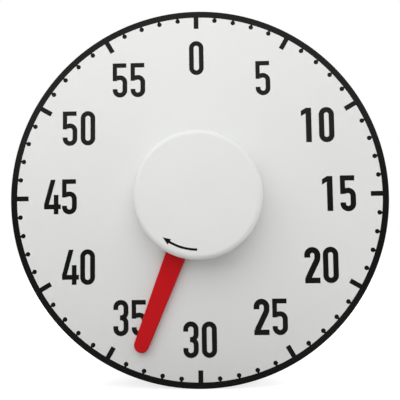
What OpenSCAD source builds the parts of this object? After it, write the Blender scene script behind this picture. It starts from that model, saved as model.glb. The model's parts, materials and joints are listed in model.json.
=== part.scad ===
// Wind-up countdown timer with a sixty minute dial.
//
// The timer hangs upright on a board: +Z is up, the dial faces -Y and the
// origin is the centre of the back face. Every piece is drawn in a flat
// stack, x to the right and y up as the dial is read and z from the wall
// towards the reader. to_wall() stands that stack up.

/* [Case] */
// Diameter of the dial and of the case behind it
dial_d = 180; // [176:1:240]
// Depth from the wall to the face of the dial
case_depth = 26; // [24.5:0.5:40]
// Wall of the front housing
case_wall = 2; // [1.6:0.1:2.4]
// Thickness of the dial plate
dial_t = 1.2; // [0.8:0.1:2]
// Thickness of the rear cover
cover_t = 2; // [1.6:0.1:2.2]
// Gap between the rear cover and the wall round it
cover_gap = 0.2; // [0.1:0.05:0.5]
// Width of the ledge inside the wall that the rear cover lands on
ledge_w = 1; // [0.6:0.1:2]
// Chamfer on the back edge of the housing
rim_chamfer = 0.8; // [0.3:0.1:1.4]
// Diameter of the screw bosses
boss_d = 7; // [6:0.5:8]
// Height of the stiffening ribs in the housing
rib_h = 2; // [1:0.5:3]
// Thickness of the stiffening ribs
rib_t = 1.4; // [1:0.1:2]

/* [Board fixing] */
// Diameter of a magnet
magnet_d = 20; // [12:1:22]
// Thickness of a magnet
magnet_t = 2; // [1.5:0.5:2.5]
// Radius of the circle that the magnets stand on
magnet_ring = 66; // [64:0.5:70]
// Height of the keyhole's round hole above the centre
keyhole_rise = 56; // [50:1:62]
// Diameter of the keyhole's round hole, which takes a screw's head
keyhole_d = 8; // [7:0.5:10]
// Width of the keyhole's slot, which takes a screw's neck
keyhole_slot = 4.2; // [3.5:0.1:5]
// Length of the keyhole's slot from the centre of its round hole
keyhole_run = 9; // [8:0.5:12]
// Width of the slots in the grille behind the gong
slot_w = 2; // [1.5:0.1:2.5]
// Step from one slot of the grille to the next
slot_step = 5; // [4:0.5:5.5]

/* [Knob and hand] */
// Diameter of the knob
knob_d = 59.5; // [50:0.5:70]
// Height of the knob's rim above the dial
knob_rise = 14.5; // [12:0.5:18]
// Gap between the knob's skirt and the dial
knob_gap = 1; // [0.6:0.1:1.2]
// Wall of the knob's skirt
knob_wall = 2; // [1.6:0.1:3]
// Thickness of the knob's face
knob_face_t = 2.2; // [1.8:0.1:3]
// Radius of the knob's front edge
knob_edge_r = 2.5; // [0.8:0.1:2.8]
// How deep the knob's face is dished inside its rim, which spares the print
knob_dish = 0.05; // [0.05:0.05:0.3]
// Diameter of the knob's hub
hub_d = 12; // [10:0.5:14]
// Reach of the hand from the centre to its tip
hand_reach = 78; // [60:0.5:84]
// Width of the hand where it leaves the knob
hand_w = 9.8; // [6:0.2:12]
// Width of the hand at its round tip
hand_tip_w = 7.1; // [3:0.1:8]
// Thickness of the hand
hand_t = 1.8; // [1.2:0.1:2.2]
// Gap between the hand and the dial
hand_gap = 1.4; // [1.3:0.1:2]
// Rounded bevel along the edges of the hand
hand_bevel = 0.6; // [0.2:0.1:0.8]
// Where the hand stands, in degrees clockwise from the top
hand_angle = 201.5; // [0:0.5:348]

/* [Movement] */
// Thickness of the movement's plates
plate_t = 1; // [0.8:0.1:1.4]
// Margin of the plates outside the wheels
plate_margin = 4; // [3.5:0.1:6]
// Gap between the rear cover and the screws of the movement
back_gap = 0.8; // [0.4:0.1:1.2]
// Diameter of the plate pillars
pillar_d = 4; // [3:0.5:5]
// Width of the mainspring's strip
spring_w = 5; // [3:0.5:5.5]
// Thickness of the mainspring's strip
spring_t = 0.4; // [0.2:0.05:0.5]
// Number of turns in the mainspring
spring_turns = 6; // [4:1:7]
// Outer radius of the mainspring's coil
spring_r = 15; // [13:0.5:15.5]
// Diameter of the main arbor
arbor_d = 5; // [4:0.5:5.5]
// Diameter of the smaller arbors
small_arbor_d = 2.4; // [2:0.1:2.8]
// Diameter of the pivots at the ends of the arbors
pivot_d = 1.2; // [0.8:0.1:1.4]
// Gap between levels of wheels
level_gap = 0.6; // [0.5:0.05:0.7]
// Radial clearance of a turning fit
run_fit = 0.03; // [0.02:0.01:0.05]

/* [Going train] */
// Tooth module of the great wheel and the second pinion
great_module = 0.5; // [0.48:0.01:0.52]
// Tooth module of the second wheel and the third pinion
second_module = 0.45; // [0.43:0.01:0.46]
// Tooth module of the third wheel and the escape pinion
third_module = 0.4; // [0.39:0.01:0.41]
// Thickness of the great wheel
great_t = 1.2; // [1:0.1:1.4]
// Thickness of the other wheels
wheel_t = 0.8; // [0.6:0.1:0.9]
// Face width of the pinions
pinion_w = 2.4; // [2:0.1:2.6]
// Share of the tooth pitch left as backlash
backlash = 0.07; // [0.05:0.01:0.1]
// Tip radius of the escape wheel
escape_r = 7.2; // [6.8:0.1:7.4]

/* [Bell] */
// Diameter of the gong
gong_d = 50; // [40:1:52]
// Height of the gong
gong_h = 9; // [7:0.5:9.5]
// Thickness of the gong's metal
gong_t = 1; // [0.8:0.1:1.4]
// How far the gong's rim stands forward of the hammer's head
gong_lap = 1; // [0.4:0.1:1.6]
// Gap between the gong and the movement's plates
gong_gap = 6.4; // [5:0.1:8]
// Gap between the hammer's head and the gong at rest
strike_gap = 0.9; // [0.9:0.1:1.2]
// Diameter of the hammer's head
hammer_head_d = 6; // [5:0.5:7]
// Length of the hammer's head
hammer_head_l = 3.4; // [2.5:0.1:4]
// Radius of the release cam
cam_r = 7; // [6:0.1:7.5]

/* [Screws] */
// Diameter of the cover's screws and of the gong's stud
screw_d = 2.8; // [2.4:0.1:3]
// Diameter of a cover screw's head
screw_head_d = 5.6; // [5:0.1:6]
// Height of a cover screw's head
screw_head_t = 1.8; // [1.4:0.1:2]
// Length of a cover screw under its head
cover_screw_l = 8; // [6:0.5:12]
// Length of the gong's screw under its head
gong_screw_l = 6; // [5:0.5:8]
// Diameter of the movement's screws
small_screw_d = 1.8; // [1.6:0.1:2]
// Diameter of a movement screw's head
small_head_d = 3.6; // [3:0.1:4]
// Height of a movement screw's head
small_head_t = 0.9; // [0.7:0.1:1.1]
// Length of a pillar's screw under its head
pillar_screw_l = 4; // [3:0.5:6]

/* [Hidden] */
$fn = 64;

abs_white = "#dededc";
print_white = "#e6e6e4";
hand_red = "#b51e21";
steel = "#a9acb0";
dark_steel = "#6e7175";
bright_steel = "#c3c6ca";
brass = "#b8973f";

eps = 0.01;            // overlap that keeps cuts clean
press_fit = 0.02;      // radial gap of a pressed or screwed fit
free_fit = 0.1;        // radial gap of a hole that a screw passes through
end_shake = 0.1;       // play of an arbor between its plates
screw_spare = 1;       // depth of a screw's hole past its end

// tooth counts of the train, and the proportions of its teeth in modules
great_teeth = 72;
second_leaves = 12;
wheel_teeth = 60;
pinion_leaves = 10;
wheel_add = 1.2;
wheel_ded = 1.0;
pinion_add = 0.6;
pinion_ded = 1.55;
flank_steps = 2;
escape_teeth = 20;
escape_tooth = 1.8;    // depth of the escape wheel's teeth
ratchet_teeth = 12;
star_teeth = 12;

// levels of the wheels, from the inner face of the rear plate
click_head_t = 0.4;
ratchet_t = 1;
cam_t = 1;
z_spring_up = level_gap;
z_great_up = z_spring_up + spring_w + level_gap;
z_ratchet_up = z_great_up + great_t;
z_second_up = z_ratchet_up + ratchet_t + click_head_t + level_gap;
z_cam_up = z_second_up + wheel_t + level_gap;
pillar_h = z_cam_up + cam_t + level_gap;

// levels of the stack, from the wall: the movement stands just clear of the
// rear cover, and the housing's bosses reach back to it
z_dial = case_depth - dial_t;
z_in = z_dial - case_wall;
z_rear_plate = cover_t + back_gap + small_head_t;
z_base = z_rear_plate + plate_t;
z_front_plate = z_base + pillar_h;
z_plate_top = z_front_plate + plate_t;
mount_h = z_in - z_plate_top;
z_spring = z_base + z_spring_up;
z_great = z_base + z_great_up;
z_ratchet = z_base + z_ratchet_up;
z_second = z_base + z_second_up;
z_cam = z_base + z_cam_up;
z_third = z_spring + spring_w / 2;
z_escape = z_great;
z_anchor = z_escape + wheel_t + level_gap;

// arbor centres of the train
second_dir = -60;
third_dir = 4.3;
escape_dir = 82;
pallet_dir = 90;
great_r = great_teeth * great_module / 2;
great_tip = great_r + wheel_add * great_module;
second_r = wheel_teeth * second_module / 2;
second_tip = second_r + wheel_add * second_module;
third_r = wheel_teeth * third_module / 2;
third_tip = third_r + wheel_add * third_module;
second_at = polar(great_r + second_leaves * great_module / 2, second_dir);
third_at = second_at + polar(second_r + pinion_leaves * second_module / 2, third_dir);
escape_at = third_at + polar(third_r + pinion_leaves * third_module / 2, escape_dir);

// the pins of the pallets stand four and a half teeth apart, just off the
// tips of the escape wheel, on arms that meet the wheel's radii squarely
pallet_pin_r = 0.3;
pallet_pin_gap = 0.08;
pallet_half = 4.5 * 180 / escape_teeth;
pallet_reach = escape_r + pallet_pin_gap + pallet_pin_r;
pallet_at = escape_at + polar(pallet_reach / cos(pallet_half), pallet_dir);

// plates, pillars and screws of the movement
plate_x0 = -great_tip - plate_margin;
plate_x1 = third_at.x + third_tip + plate_margin;
plate_y0 = second_at.y - second_tip - plate_margin;
plate_y1 = great_tip + plate_margin;
plate_corner = 3;
row_top = plate_y1 - plate_margin;
row_bottom = plate_y0 + plate_margin;
pillars_at = [
    [plate_x0 + plate_margin, row_top], [plate_x1 - plate_margin, row_top],
    [plate_x0 + plate_margin, row_bottom], [plate_x1 - plate_margin, row_bottom]
];
boss_run = 10;         // from a pillar to the boss beside it
movement_bosses = [
    pillars_at[0] + [boss_run, 0], pillars_at[1] - [boss_run, 0], pillars_at[3] - [boss_run, 0]
];
spigot_d = pillar_d - 1;
free_hole_d = small_screw_d + 2 * free_fit;

// hammer arbor, gong and hammer head
hammer_in = 5.6;       // from the plates' left edge to the hammer's arbor
hammer_drop = 1.4;     // from the great wheel's lowest tooth to the arbor
hammer_at = [plate_x0 + hammer_in, -great_tip - hammer_drop];
gong_y = -6;
gong_at = [plate_x0 - gong_gap - gong_d / 2, gong_y];
head_ring = gong_d / 2 + strike_gap + hammer_head_d / 2;
hammer_span = norm(gong_at - hammer_at);
head_at = gong_at + polar(head_ring, heading(gong_at, hammer_at) - acos(head_ring / hammer_span));
finger_r = 0.8;
finger_gap = 0.9;
finger_ring = cam_r + finger_gap + finger_r;
finger_at = polar(finger_ring, heading([0, 0], hammer_at) - acos(finger_ring / norm(hammer_at)));
star_r = 5;
star_tooth = 1.3;
tail_gap = 0.5;
tail_at = second_at + polar(star_r + tail_gap + finger_r, heading(second_at, hammer_at));
z_gong_back = z_cam + gong_lap - gong_h;
z_gong = z_gong_back + gong_t;

// winding click, in the frame of the great wheel
ratchet_tip = 6.5;
ratchet_root = 5.4;
click_turn = 30;       // where the click stands round the great wheel
click_ring = 11.5;
click_dir = 48;
click_at = polar(click_ring, click_dir);
click_r = 1.6;
click_lean = -14;      // where the click's body leaves its round end
click_nose = 1;        // where its nose waits, past a tooth's steep side
click_bite = 0.2;      // how far the nose stops short of the tooth's root
click_stud_r = 0.9;
click_head_r = 1.4;
click_spring_t = 0.3;
click_spring_in = 4.2;
click_spring_out = 5.4;
click_spring_dir = 100;
click_spring_sweep = 190;
click_pin_r = 0.7;
click_pin_ring = click_spring_in + click_spring_t / 2 + click_pin_r;
click_pin_at = click_at + polar(click_pin_ring, click_spring_dir);

// end stops: the arm stands six degrees before the pin when the hand is at 0
stop_ring = 12;
stop_half = 0.6;
stop_dir = 135;
stop_early = 6;
stop_root_r = 2.4;
stop_arm_t = 0.8;
bush_wall = 1.5;
bush_r = arbor_d / 2 + bush_wall;
bush_collar_w = 0.8;
bush_collar_t = 0.4;
z_stop_arm = z_plate_top + bush_collar_t + end_shake;

// cover, bosses and screws
cover_r = dial_d / 2 - case_wall - cover_gap;
cup_floor = 1.2;
cup_wall = 1.2;
cup_r = screw_head_d / 2 + 2 * free_fit + cup_wall;
cup_rise = 0.2;        // how deep a cover screw's head lies under the back face
cup_h = screw_head_t + cup_rise + cup_floor;
boss_ring = dial_d / 2 - case_wall - ledge_w - cover_gap - cup_r;
cover_screw_dirs = [45, 135, 225, 315];
magnet_dirs = [35, 145, 215, 325];
magnet_wall = 1.5;
magnet_floor = 0.9;
cover_rib_h = 1.2;
rib_gap = 4;           // from the movement's plates to the ribs outside them
rib_start = plate_x1 + rib_gap;
rib_end_gap = 1;       // from a cover rib to the ledge
side_slots = 3;
grille_r = (side_slots + 0.6) * slot_step;
gong_pad_w = 2;
hub_play = 1;          // radial gap round the knob's hub in the dial

function polar(r, a) = [r * cos(a), r * sin(a)];
function heading(p, q) = atan2(q.y - p.y, q.x - p.x);

// Angle that a cycloidal flank has turned in by when it reaches radius r.
// The flank is rolled on the pitch circle by a circle half as large as the
// mate's pitch circle, so that it bears truly on the mate's radial flank.
function flank_turn(pitch, roll, r) =
    let (
        arm = pitch + roll,
        t = roll / pitch * acos(min(1, (arm * arm + roll * roll - r * r) / (2 * roll * arm))),
        p = polar(arm, t) - polar(roll, arm / roll * t)
    ) atan2(p.y, p.x);

// Outline of a gear, its first tooth on the x axis.
function gear_outline(teeth, module_, mate, add, ded) =
    let (
        pitch = teeth * module_ / 2,
        roll = mate * module_ / 4,
        half = 90 / teeth * (1 - backlash),
        tip = pitch + add * module_,
        root = pitch - ded * module_
    ) [
        for (i = [0:teeth - 1])
            let (
                mid = 360 * i / teeth,
                rise = [for (k = [0:flank_steps]) pitch + (tip - pitch) * k / flank_steps],
                turn = [for (r = rise) half - flank_turn(pitch, roll, r)]
            ) each concat(
                [polar(root, mid - half)],
                [for (k = [0:flank_steps]) polar(rise[k], mid - turn[k])],
                [for (k = [flank_steps:-1:0]) polar(rise[k], mid + turn[k])],
                [polar(root, mid + half)]
            )
    ];

// Outline of a strip of thickness t along a path.
function ribbon(path, t) =
    let (
        last = len(path) - 1,
        side = [for (i = [0:last])
            let (d = path[min(i + 1, last)] - path[max(i - 1, 0)])
                [-d.y, d.x] / norm(d) * t / 2]
    ) concat([for (i = [0:last]) path[i] + side[i]], [for (i = [last:-1:0]) path[i] - side[i]]);

module to_wall() rotate([90, 0, 0]) children();
module at(p, z = 0) translate([p.x, p.y, z]) children();
module plate(t, z = 0) translate([0, 0, z]) linear_extrude(height = t) children();
module drill(p, d, z, h) at(p, z - eps) cylinder(d = d, h = h + 2 * eps);
module blind(p, d, z, h) at(p, z - eps) cylinder(d = d, h = h + eps);
module with_hand() rotate(-hand_angle) children();

// A link of flat stock between two round ends.
module link(p, rp, q, rq) hull() {
    translate(p) circle(r = rp, $fn = 32);
    translate(q) circle(r = rq, $fn = 32);
}

// A pan-headed screw pointing up, its head's seat at z = 0, with a cross in
// the head.
module screw(d, length, head_d, head_t) {
    cross = 0.64 * head_d;
    cross_w = 0.4 * head_t;
    translate([0, 0, -eps]) cylinder(d = d, h = length + eps);
    difference() {
        translate([0, 0, -head_t]) cylinder(d = head_d, h = head_t);
        for (a = [0, 90]) rotate(a) translate([-cross / 2, -cross_w / 2, -head_t - eps])
            cube([cross, cross_w, head_t / 2 + eps]);
    }
}

// ---- case ----

module front_housing() color(abs_white) to_wall() {
    rim_r = dial_d / 2;
    wall_r = rim_r - case_wall;
    ledge_r = wall_r - ledge_w;
    hub_hole_r = hub_d / 2 + hub_play;
    difference() {
        union() {
            rotate_extrude($fn = 180) polygon([
                [hub_hole_r, z_in], [ledge_r, z_in], [ledge_r, cover_t], [wall_r, cover_t],
                [wall_r, 0], [rim_r - rim_chamfer, 0], [rim_r, rim_chamfer],
                [rim_r, z_dial], [hub_hole_r, z_dial]
            ]);
            for (a = cover_screw_dirs) {
                at(polar(boss_ring, a), cup_h) cylinder(d = boss_d, h = z_in - cup_h + eps);
                rotate(a) translate([boss_ring, -rib_t / 2, cup_h])
                    cube([ledge_r + eps - boss_ring, rib_t, z_in - cup_h + eps]);
            }
            for (p = movement_bosses) at(p, z_plate_top) cylinder(d = boss_d, h = mount_h + eps);
            at(gong_at, z_in - rib_h) cylinder(d = boss_d + 2 * gong_pad_w, h = rib_h + eps);
            for (a = [15:30:345]) rotate(a) translate([rib_start, -rib_t / 2, z_in - rib_h])
                cube([ledge_r + eps - rib_start, rib_t, rib_h + eps]);
        }
        for (a = cover_screw_dirs)
            blind(polar(boss_ring, a), screw_d + 2 * press_fit, cup_h, cover_screw_l - cup_floor + screw_spare);
        for (p = movement_bosses)
            blind(p, small_screw_d + 2 * press_fit, z_plate_top, mount_h + case_wall / 2);
        blind(gong_at, screw_d + 2 * press_fit, z_in - rib_h, rib_h + case_wall / 2);
    }
}

module dial_plate() color(print_white) to_wall() plate(dial_t, z_dial) difference() {
    circle(d = dial_d, $fn = 180);
    circle(r = hub_d / 2 + hub_play);
}

module rear_cover() color(abs_white) to_wall() difference() {
    union() {
        cylinder(r = cover_r, h = cover_t, $fn = 180);
        for (a = cover_screw_dirs) at(polar(boss_ring, a)) cylinder(r = cup_r, h = cup_h);
        for (a = magnet_dirs) at(polar(magnet_ring, a))
            cylinder(d = magnet_d + 2 * magnet_wall, h = magnet_t + magnet_floor);
        for (a = [0, 60, 120, 240, 300]) rotate(a) translate([rib_start, -rib_t / 2, cover_t - eps])
            cube([dial_d / 2 - case_wall - ledge_w - rib_end_gap - rib_start, rib_t, cover_rib_h]);
    }
    for (a = cover_screw_dirs) {
        drill(polar(boss_ring, a), screw_d + 4 * free_fit, 0, cup_h);
        blind(polar(boss_ring, a), screw_head_d + 4 * free_fit, 0, cup_h - cup_floor);
    }
    for (a = magnet_dirs) blind(polar(magnet_ring, a), magnet_d + 2 * press_fit, 0, magnet_t);
    drill([0, keyhole_rise], keyhole_d, 0, cover_t);
    drill([0, keyhole_rise + keyhole_run], keyhole_slot, 0, cover_t);
    translate([-keyhole_slot / 2, keyhole_rise, -eps])
        cube([keyhole_slot, keyhole_run, cover_t + 2 * eps]);
    for (i = [-side_slots:side_slots]) at(gong_at + [i * slot_step, 0], -eps)
        sound_slot(sqrt(pow(grille_r, 2) - pow(i * slot_step, 2)));
}

// One slot of the round grille behind the gong, which runs this far each way.
module sound_slot(run) {
    translate([-slot_w / 2, -run, 0]) cube([slot_w, 2 * run, cover_t + 2 * eps]);
    for (y = [-run, run]) translate([0, y, 0]) cylinder(d = slot_w, h = cover_t + 2 * eps);
}

module cover_screws() color(steel) to_wall() for (a = cover_screw_dirs)
    at(polar(boss_ring, a), cup_h - cup_floor) screw(screw_d, cover_screw_l, screw_head_d, screw_head_t);

module board_magnets() color(bright_steel) to_wall() for (a = magnet_dirs)
    at(polar(magnet_ring, a)) cylinder(d = magnet_d, h = magnet_t);

// ---- knob and hand ----

z_knob = case_depth + knob_gap;
z_knob_top = case_depth + knob_rise;
z_hand = case_depth + hand_gap;
z_hand_top = z_hand + hand_t;
z_knob_in = z_knob_top - knob_dish - knob_face_t;
dish_land = 0.8;       // flat rim left round the knob's dished face
socket_floor = 1.2;
z_socket = z_knob_in - socket_floor;
flat_depth = 0.7;
flat_at = arbor_d / 2 - flat_depth;
hand_ring_w = 6;
hand_ring_r = hub_d / 2 + hand_ring_w;
hand_play = 0.3;
peg_d = 2;
pegs_at = [for (a = [30, 210]) polar(hub_d / 2 + hand_ring_w / 2, a)];

// Section of the main arbor's front end, round with one flat.
module d_section(r, flat) difference() {
    circle(r = r);
    translate([flat, -r - 1]) square([r, 2 * r + 2]);
}

module knob_cap() color(abs_white) to_wall() with_hand() {
    knob_r = knob_d / 2;
    hub_r = hub_d / 2;
    web_h = z_knob_in - z_hand_top;
    difference() {
        rotate_extrude($fn = 128) difference() {
            union() {
                translate([0, z_knob]) square([knob_r, z_knob_top - knob_edge_r - z_knob]);
                translate([0, z_knob]) square([knob_r - knob_edge_r, z_knob_top - z_knob]);
                translate([knob_r - knob_edge_r, z_knob_top - knob_edge_r]) circle(r = knob_edge_r);
            }
            translate([hub_r, z_knob - eps])
                square([knob_r - knob_wall - hub_r, z_knob_in - z_knob + eps]);
            translate([0, z_knob_top - knob_dish])
                square([knob_r - knob_edge_r - dish_land, knob_dish + eps]);
        }
        plate(z_socket - z_knob + eps, z_knob - eps) d_section(arbor_d / 2 + run_fit, flat_at + run_fit);
        translate([-hand_w / 2 - hand_play, hub_r + 1, z_knob - eps])
            cube([hand_w + 2 * hand_play, knob_r - hub_r, z_hand_top + hand_play - z_knob + eps]);
    }
    for (a = [30:60:330]) rotate(a) translate([hub_r - eps, -rib_t / 2, z_hand_top])
        cube([knob_r - knob_wall - hub_r + 2 * eps, rib_t, web_h + eps]);
    for (p = pegs_at) at(p, z_hand) cylinder(d = peg_d, h = z_knob_in - z_hand + eps);
}

module pointer_hand() color(hand_red) to_wall() with_hand() difference() {
    union() {
        plate(hand_t, z_hand) circle(r = hand_ring_r);
        hull() for (a = [0:22.5:90])
            plate(hand_t - hand_bevel * (1 - sin(a)), z_hand) hand_outline(hand_bevel * (1 - cos(a)));
    }
    drill([0, 0], hub_d + 2 * run_fit, z_hand, hand_t);
    for (p = pegs_at) drill(p, peg_d + 2 * run_fit, z_hand, hand_t);
}

// The hand's outline, drawn in by a margin, pointing up from the centre.
module hand_outline(inset) {
    root_y = hub_d / 2 + 1;
    tip_r = hand_tip_w / 2;
    translate([0, hand_reach - tip_r]) circle(r = tip_r - inset, $fn = 48);
    translate([inset - hand_w / 2, root_y]) square([hand_w - 2 * inset, knob_d / 2 - root_y]);
}

// ---- movement frame ----

module plate_outline() {
    c = plate_corner;
    polygon([
        [plate_x0 + c, plate_y0], [plate_x1 - c, plate_y0], [plate_x1, plate_y0 + c],
        [plate_x1, plate_y1 - c], [plate_x1 - c, plate_y1], [plate_x0 + c, plate_y1],
        [plate_x0, plate_y1 - c], [plate_x0, plate_y0 + c]
    ]);
}

module pivot_holes(z) for (p = [second_at, third_at, escape_at, pallet_at, hammer_at])
    drill(p, pivot_d + 2 * run_fit, z, plate_t);

module front_plate() color(steel) to_wall() difference() {
    plate(plate_t, z_front_plate) plate_outline();
    pivot_holes(z_front_plate);
    drill([0, 0], 2 * bush_r + 2 * press_fit, z_front_plate, plate_t);
    drill(polar(stop_ring, stop_dir), 2 * stop_half + 2 * press_fit, z_front_plate, plate_t);
    for (p = pillars_at) drill(p, spigot_d + 2 * press_fit, z_front_plate, plate_t);
    for (p = movement_bosses) drill(p, free_hole_d, z_front_plate, plate_t);
}

module rear_plate() color(steel) to_wall() difference() {
    plate(plate_t, z_rear_plate) plate_outline();
    pivot_holes(z_rear_plate);
    drill([0, 0], main_pivot_d + 2 * run_fit, z_rear_plate, plate_t);
    for (p = pillars_at) drill(p, free_hole_d, z_rear_plate, plate_t);
}

module plate_pillars() color(brass) to_wall() for (p = pillars_at) difference() {
    union() {
        at(p, z_base) cylinder(d = pillar_d, h = pillar_h);
        at(p, z_front_plate - eps) cylinder(d = spigot_d, h = plate_t + eps);
    }
    blind(p, small_screw_d + 2 * press_fit, z_base, pillar_screw_l - plate_t + screw_spare);
}

module pillar_screws() color(steel) to_wall() for (p = pillars_at)
    at(p, z_rear_plate) screw(small_screw_d, pillar_screw_l, small_head_d, small_head_t);

module movement_screws() color(steel) to_wall() for (p = movement_bosses)
    at(p, z_front_plate) screw(small_screw_d, plate_t + mount_h, small_head_d, small_head_t);

module front_bush() color(brass) to_wall() difference() {
    union() {
        translate([0, 0, z_front_plate]) cylinder(r = bush_r, h = plate_t);
        translate([0, 0, z_plate_top]) cylinder(r = bush_r + bush_collar_w, h = bush_collar_t);
    }
    drill([0, 0], arbor_d + 2 * run_fit, z_front_plate, plate_t + bush_collar_t);
}

// ---- winding and stops ----

core_r = arbor_d / 2 + 0.7;
main_pivot_d = arbor_d - 2;
pivot_out = 0.5;       // how far the main pivot stands behind the rear plate

module main_arbor() color(steel) to_wall() with_hand() {
    translate([0, 0, z_rear_plate - pivot_out])
        cylinder(d = main_pivot_d, h = pivot_out + plate_t + 2 * end_shake);
    translate([0, 0, z_base + end_shake]) cylinder(r = core_r, h = z_great_up - end_shake);
    translate([0, 0, z_great - eps]) cylinder(d = arbor_d, h = z_stop_arm - z_great + eps);
    plate(z_socket - z_stop_arm + eps, z_stop_arm - eps) d_section(arbor_d / 2, flat_at);
}

pillar_near = pillars_at[0];
hook_fit = 0.01;       // gap inside a sprung loop
hook_step = 15;
hook_sweep = 240;
hook_in = (pillar_d / 2 + hook_fit) / cos(hook_step / 2);
hook_r = hook_in + spring_t / 2;
spring_end = heading([0, 0], pillar_near) - acos((spring_r - hook_r) / norm(pillar_near));
spring_in = core_r + spring_t / 2 + hook_fit;
spring_start = spring_end - 360 * spring_turns;
spring_path = concat(
    [for (a = [spring_start:12:spring_end - 1])
        polar(spring_in + (spring_r - spring_in) * (a - spring_start) / (360 * spring_turns), a)],
    [polar(spring_r, spring_end)],
    [for (a = [0:hook_step:hook_sweep]) pillar_near + polar(hook_r, spring_end + a)]
);

module mainspring() color(dark_steel) to_wall()
    plate(spring_w, z_spring) polygon(ribbon(spring_path, spring_t));

module great_wheel() color(brass) to_wall() difference() {
    plate(great_t, z_great) rotate(second_dir)
        polygon(gear_outline(great_teeth, great_module, second_leaves, wheel_add, wheel_ded));
    drill([0, 0], arbor_d + 2 * run_fit, z_great, great_t);
    with_hand() rotate(click_turn) {
        drill(click_at, 2 * click_stud_r + 2 * press_fit, z_great, great_t);
        drill(click_pin_at, 2 * click_pin_r + 2 * press_fit, z_great, great_t);
    }
}

module ratchet_wheel() color(steel) to_wall() with_hand() rotate(click_turn) difference() {
    plate(ratchet_t, z_ratchet) polygon([
        for (i = [0:ratchet_teeth - 1], r = [ratchet_tip, ratchet_root])
            polar(r, 360 * i / ratchet_teeth)
    ]);
    drill([0, 0], arbor_d + 2 * press_fit, z_ratchet, ratchet_t);
}

// The click's nose waits in front of a tooth's steep side.
module click() color(steel) to_wall() with_hand() rotate(click_turn) difference() {
    plate(ratchet_t, z_ratchet) {
        translate(click_at) circle(r = click_r);
        polygon([
            polar(ratchet_root + click_bite, 1.5 * click_nose), polar(ratchet_tip, click_nose),
            click_at + polar(click_r, click_lean), click_at + polar(click_r, click_lean + 180)
        ]);
    }
    drill(click_at, 2 * click_stud_r + 2 * run_fit, z_ratchet, ratchet_t);
}

module click_stud() color(brass) to_wall() with_hand() rotate(click_turn) at(click_at) {
    translate([0, 0, z_great]) cylinder(r = click_stud_r, h = great_t + ratchet_t + end_shake / 2);
    translate([0, 0, z_ratchet + ratchet_t + end_shake / 2])
        cylinder(r = click_head_r, h = click_head_t);
}

module click_spring() color(dark_steel) to_wall() with_hand() rotate(click_turn)
    plate(ratchet_t - click_spring_t, z_ratchet) polygon(ribbon([
        for (k = [0:1/12:1]) click_at
            + polar(click_spring_in + (click_spring_out - click_spring_in) * k,
                click_spring_dir - click_spring_sweep * k)
    ], click_spring_t));

module click_spring_pin() color(brass) to_wall() with_hand() rotate(click_turn)
    at(click_pin_at, z_great) cylinder(r = click_pin_r, h = great_t + ratchet_t);

module stop_arm() color(steel) to_wall() with_hand() difference() {
    plate(stop_arm_t, z_stop_arm) {
        circle(r = bush_r);
        link([0, 0], stop_root_r, polar(stop_ring, stop_dir - stop_early), stop_half);
    }
    plate(stop_arm_t + 2 * eps, z_stop_arm - eps) d_section(arbor_d / 2 + press_fit, flat_at + press_fit);
}

module stop_pin() color(steel) to_wall() at(polar(stop_ring, stop_dir), z_front_plate)
    cylinder(r = stop_half, h = z_stop_arm + stop_arm_t + end_shake - z_front_plate);

// ---- going train ----

// An arbor between the plates with its pinion cut on it. The wheel lands on
// a collar that ends at z_seat and reaches back to the pinion.
module train_arbor(p, leaves, module_, mate, turn, z_pinion, z_seat) color(steel) to_wall() at(p) {
    plain_arbor(small_arbor_d);
    rotate(turn + 180 + 180 / leaves) plate(pinion_w, z_pinion)
        polygon(gear_outline(leaves, module_, mate, pinion_add, pinion_ded));
    low = min(z_pinion + pinion_w - eps, z_seat);
    high = max(z_pinion + eps, z_seat);
    translate([0, 0, low]) cylinder(r = small_arbor_d / 2 + collar_w, h = high - low);
}

// A turned arbor with a thinner pivot in each plate.
module plain_arbor(d) {
    translate([0, 0, z_rear_plate]) cylinder(d = pivot_d, h = pillar_h + 2 * plate_t);
    translate([0, 0, z_base + end_shake]) cylinder(d = d, h = pillar_h - 2 * end_shake);
}

// A thin brass wheel whose first tooth points along dir to its pinion.
module train_wheel(p, module_, dir, z) color(brass) to_wall() at(p, z) difference() {
    plate(wheel_t) rotate(dir)
        polygon(gear_outline(wheel_teeth, module_, pinion_leaves, wheel_add, wheel_ded));
    drill([0, 0], small_arbor_d + 2 * press_fit, 0, wheel_t);
    crossings((wheel_teeth / 2 - wheel_ded) * module_ - wheel_rim);
}

// The openings between a wheel's rim, hub and spokes.
module crossings(r) plate(wheel_t + 2 * eps, -eps) difference() {
    circle(r = r);
    circle(r = small_arbor_d / 2 + collar_w + wheel_hub_w);
    for (a = [0:90:270]) rotate(a) translate([0, -spoke_w / 2]) square([r + 1, spoke_w]);
}

collar_w = 0.7;
wheel_hub_w = 1.2;
wheel_rim = 1.4;
spoke_w = 1.5;
z_pinion_2 = z_great + great_t / 2 - pinion_w / 2;
z_pinion_3 = z_second + wheel_t / 2 - pinion_w / 2;
z_pinion_e = z_third + wheel_t / 2 - pinion_w / 2;

module second_arbor()
    train_arbor(second_at, second_leaves, great_module, great_teeth, second_dir, z_pinion_2, z_second);
module second_wheel() train_wheel(second_at, second_module, third_dir, z_second);
module third_arbor()
    train_arbor(third_at, pinion_leaves, second_module, wheel_teeth, third_dir, z_pinion_3, z_third + wheel_t);
module third_wheel() train_wheel(third_at, third_module, escape_dir, z_third);
module escape_arbor()
    train_arbor(escape_at, pinion_leaves, third_module, wheel_teeth, escape_dir, z_pinion_e, z_escape);

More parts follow.
